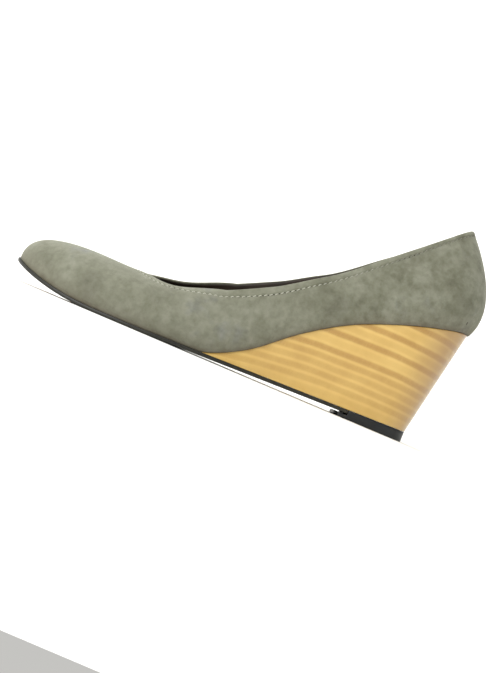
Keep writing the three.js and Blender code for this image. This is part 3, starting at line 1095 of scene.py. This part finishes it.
def make_edge_paint():
    """Acrylic edge paint: near black, satin, slightly uneven from the brush."""
    material, tree, shader, place = start_material("edge_paint")
    brush = add(tree, "ShaderNodeTexNoise", {"Vector": place, "Scale": 400.0, "Detail": 3.0})
    ramp = add(tree, "ShaderNodeValToRGB", {"Fac": brush.outputs["Fac"]})
    set_ramp(ramp, [(0.3, linear("#191812")), (0.7, linear("#2a2920"))])
    bump = add(tree, "ShaderNodeBump", {"Height": brush.outputs["Fac"], "Strength": 0.2, "Distance": 0.0002})
    finish = {
        "Base Color": ramp.outputs["Color"],
        "Normal": bump.outputs["Normal"],
        "Roughness": 0.42,
        "IOR": 1.5,
    }
    feed(tree, shader, finish)
    return material


# %% Outsole
BLEND_STARTS, BLEND_ENDS = 0.8, 1.1
PAINT_UNDER = 1.0
PAINT_ABOVE = 2.2
EDGE_ROUND = 0.45
OUTSOLE_STATIONS = 170


def outsole_plan(inset):
    """The wedge's outline behind, and the feather line with a narrow edge in front."""
    behind, ahead = outline(BOTTOM, -inset), outline(FEATHER, OUTSOLE_EDGE - inset)
    guide = outline(FEATHER, OUTSOLE_EDGE)

    def plan(u):
        forward = (guide(u)[..., 0] / WEDGE_LENGTH - BLEND_STARTS) / (BLEND_ENDS - BLEND_STARTS)
        share = ease(forward)[..., None]
        return behind(u) * (1 - share) + ahead(u) * share

    return plan


outsole_u = np.linspace(place_of(outsole_plan(0), LIFT_FRONT + CLEARANCE), 0.5, OUTSOLE_STATIONS)


def outsole_level(inset, rise):
    return rows(outsole_plan(inset), outsole_u, lambda x: ground(x) + rise)


top = OUTSOLE_THICKNESS
outsole_levels = [
    outsole_level(PAINT_UNDER, 0),
    outsole_level(EDGE_ROUND, 0),
    outsole_level(EDGE_ROUND * MID_ROUND, EDGE_ROUND * MID_ROUND),
    outsole_level(0, EDGE_ROUND),
    outsole_level(0, top - EDGE_ROUND),
    outsole_level(EDGE_ROUND * MID_ROUND, top - EDGE_ROUND * MID_ROUND),
    outsole_level(EDGE_ROUND, top),
    outsole_level(PAINT_ABOVE, top),
]
outsole = flat_body("outsole", outsole_levels, 20, [make_edge_paint(), make_sole_leather()], (0, 1, 1))
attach(outsole, "root")
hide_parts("outsole")

# %% [markdown]
# ## Top lift
#
# The top lift is the rubber piece that the heel wears down on. It is moulded, with a thin lip that
# laps under the end of the outsole. Its stations are set close to the step, which keeps it sharp.


# %% Rubber material
def make_rubber():
    """Moulded heel rubber: black, with a fine even grain and a dull skin."""
    material, tree, shader, place = start_material("heel_rubber")
    grain = add(tree, "ShaderNodeTexVoronoi", {"Vector": place, "Scale": 2200.0})
    dusty = {"Vector": place, "Scale": 130.0, "Detail": 5.0, "Roughness": 0.65}
    dust = add(tree, "ShaderNodeTexNoise", dusty)
    ramp = add(tree, "ShaderNodeValToRGB", {"Fac": dust.outputs["Fac"]})
    set_ramp(ramp, [(0.35, linear("#0b0d0f")), (0.75, linear("#1b2024"))])
    bump = add(
        tree, "ShaderNodeBump", {"Height": grain.outputs["Distance"], "Strength": 0.3, "Distance": 0.00015}
    )
    finish = {
        "Base Color": ramp.outputs["Color"],
        "Normal": bump.outputs["Normal"],
        "Roughness": 0.5,
        "IOR": 1.52,
    }
    feed(tree, shader, finish)
    return material


# %% Top lift
LIFT_ROUND = 0.6
STEP = 0.05
lift_u = np.concatenate([
    np.linspace(0, place_of(wedge_foot, LIFT_FRONT - STEP), 70),
    np.linspace(place_of(wedge_foot, LIFT_FRONT + STEP), place_of(wedge_foot, LIFT_FRONT + LAP_LENGTH), 10),
])


def lift_level(inset, height):
    return rows(outline(BOTTOM, -inset), lift_u, height)


def lift_top(x):
    return np.where(x < LIFT_FRONT, sole_top(x), ground(x) - LAP_GAP)


lift_levels = [
    lift_level(LIFT_ROUND * (1 - math.sin(a)), lambda x, a=a: 0 * x + LIFT_ROUND * (1 - math.cos(a)))
    for a in quarter
]
lift_levels += [
    lift_level(0, lambda x, s=s: LIFT_ROUND + (lift_top(x) - LIFT_ROUND) * s) for s in (0.35, 0.7, 1.0)
]
lift = flat_body("top_lift", lift_levels, 12, [make_rubber()])
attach(lift, "root")
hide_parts("top_lift")

# %% [markdown]
# ## Floor and light
#
# The shoe stands on a plain white sweep: a floor that rises behind it in a wide curve, as paper does
# in a studio, so no horizon shows. A large soft lamp above and one on the toe's side leave only faint
# shadows, and the side of the heel stays a little darker. A third lamp whitens the sweep.

# %% Floor
FLOOR_FRONT, FLOOR_BACK, SWEEP_RADIUS, SWEEP_TOP, FLOOR_HALF = 3.0, -1.6, 1.0, 3.2, 3.6


def make_paper():
    material, tree, shader, place = start_material("studio_paper")
    tooth = add(tree, "ShaderNodeTexNoise", {"Vector": place, "Scale": 900.0, "Detail": 3.0})
    ramp = add(tree, "ShaderNodeValToRGB", {"Fac": tooth.outputs["Fac"]})
    set_ramp(ramp, [(0.2, linear("#f1f1ee")), (0.8, linear("#f8f8f5"))])
    feed(tree, shader, {"Base Color": ramp.outputs["Color"], "Roughness": 0.9})
    return material


profile = [(FLOOR_FRONT, 0.0), (0.0, 0.0), (FLOOR_BACK, 0.0)]
for angle in np.linspace(0, math.pi / 2, 25)[1:]:
    profile.append((FLOOR_BACK - SWEEP_RADIUS * math.sin(angle), SWEEP_RADIUS * (1 - math.cos(angle))))
profile.append((FLOOR_BACK - SWEEP_RADIUS, SWEEP_TOP))
paper_points = [(x, y, z) for y, z in profile for x in (-FLOOR_HALF, FLOOR_HALF)]
paper_faces = [(2 * i, 2 * i + 1, 2 * i + 3, 2 * i + 2) for i in range(len(profile) - 1)]
paper_mesh = bpy.data.meshes.new("studio_paper")
paper_mesh.from_pydata(paper_points, [], paper_faces)
paper_mesh.materials.append(make_paper())
paper_mesh.shade_smooth()
paper = bpy.data.objects.new("studio_paper", paper_mesh)
bpy.context.collection.objects.link(paper)


# %% Lamps and sky
def softbox(name, place, target, size, power):
    lamp = bpy.data.lights.new(name, "AREA")
    lamp.shape = "RECTANGLE"
    lamp.size, lamp.size_y = size
    lamp.energy = power
    holder = bpy.data.objects.new(name, lamp)
    holder.location = place
    holder.rotation_euler = (Vector(target) - Vector(place)).to_track_quat("-Z", "Y").to_euler()
    bpy.context.collection.objects.link(holder)


MIDDLE = (0.0, 0.0, 0.05)
softbox("overhead_softbox", (0.5, 0.3, 1.45), MIDDLE, (1.6, 1.2), 10.0)
softbox("toe_side_softbox", (1.1, 1.3, 0.8), MIDDLE, (1.2, 1.0), 18.5)
softbox("backdrop_softbox", (0.0, -1.1, 2.2), (0.0, -2.4, 0.6), (3.0, 0.8), 70.0)

sky = bpy.data.worlds.new("studio_sky")
sky.use_nodes = True
sky.node_tree.nodes["Background"].inputs["Color"].default_value = linear("#f7f6f2")
sky.node_tree.nodes["Background"].inputs["Strength"].default_value = 0.6
bpy.context.scene.world = sky
bpy.context.scene.view_settings.view_transform = "Standard"

# %% [markdown]
# ## Camera
#
# The photo was taken square to the outer side of the shoe, from just above the plane that its sole
# stands on, with the picture turned so that the sole falls to the right. The camera has that place
# and turn. It aims at the middle of what it sees, and its lens is long enough to fill the frame.

# %% Camera
CAMERA_PLACE = Vector((-0.0173, 0.461, 0.004))
CAMERA_TURN = math.radians(23.0)
FRAME_WIDTH, FRAME_HEIGHT = 504, 673
FILL = 0.93
SENSOR = 36.0
AIM_ROUNDS = 8

corners = [Vector(v.co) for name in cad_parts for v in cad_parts[name].data.vertices]
aim = Vector(MIDDLE) - CAMERA_PLACE
for _ in range(AIM_ROUNDS):
    aim.normalize()
    level_right = aim.cross(Vector((0, 0, 1))).normalized()
    level_up = level_right.cross(aim)
    right = level_right * math.cos(CAMERA_TURN) + level_up * math.sin(CAMERA_TURN)
    up = level_up * math.cos(CAMERA_TURN) - level_right * math.sin(CAMERA_TURN)
    seen = [(p - CAMERA_PLACE) for p in corners]
    across_view = [p.dot(right) / p.dot(aim) for p in seen]
    up_view = [p.dot(up) / p.dot(aim) for p in seen]
    aim += right * (max(across_view) + min(across_view)) / 2 + up * (max(up_view) + min(up_view)) / 2
width, height = max(across_view) - min(across_view), max(up_view) - min(up_view)
focal = FILL * min(FRAME_WIDTH / width, FRAME_HEIGHT / height)
camera_data = bpy.data.cameras.new("photo_camera")
camera_data.sensor_width = SENSOR
camera_data.lens = focal / max(FRAME_WIDTH, FRAME_HEIGHT) * SENSOR
camera_data.clip_start = 0.01
camera = bpy.data.objects.new("photo_camera", camera_data)
camera.matrix_world = Matrix.Translation(CAMERA_PLACE) @ Matrix((right, up, -aim)).transposed().to_4x4()
bpy.context.collection.objects.link(camera)
bpy.context.scene.camera = camera
print("lens", round(camera_data.lens, 1), "mm")
print("the shoe spans", round(width * focal), "by", round(height * focal), "pixels")
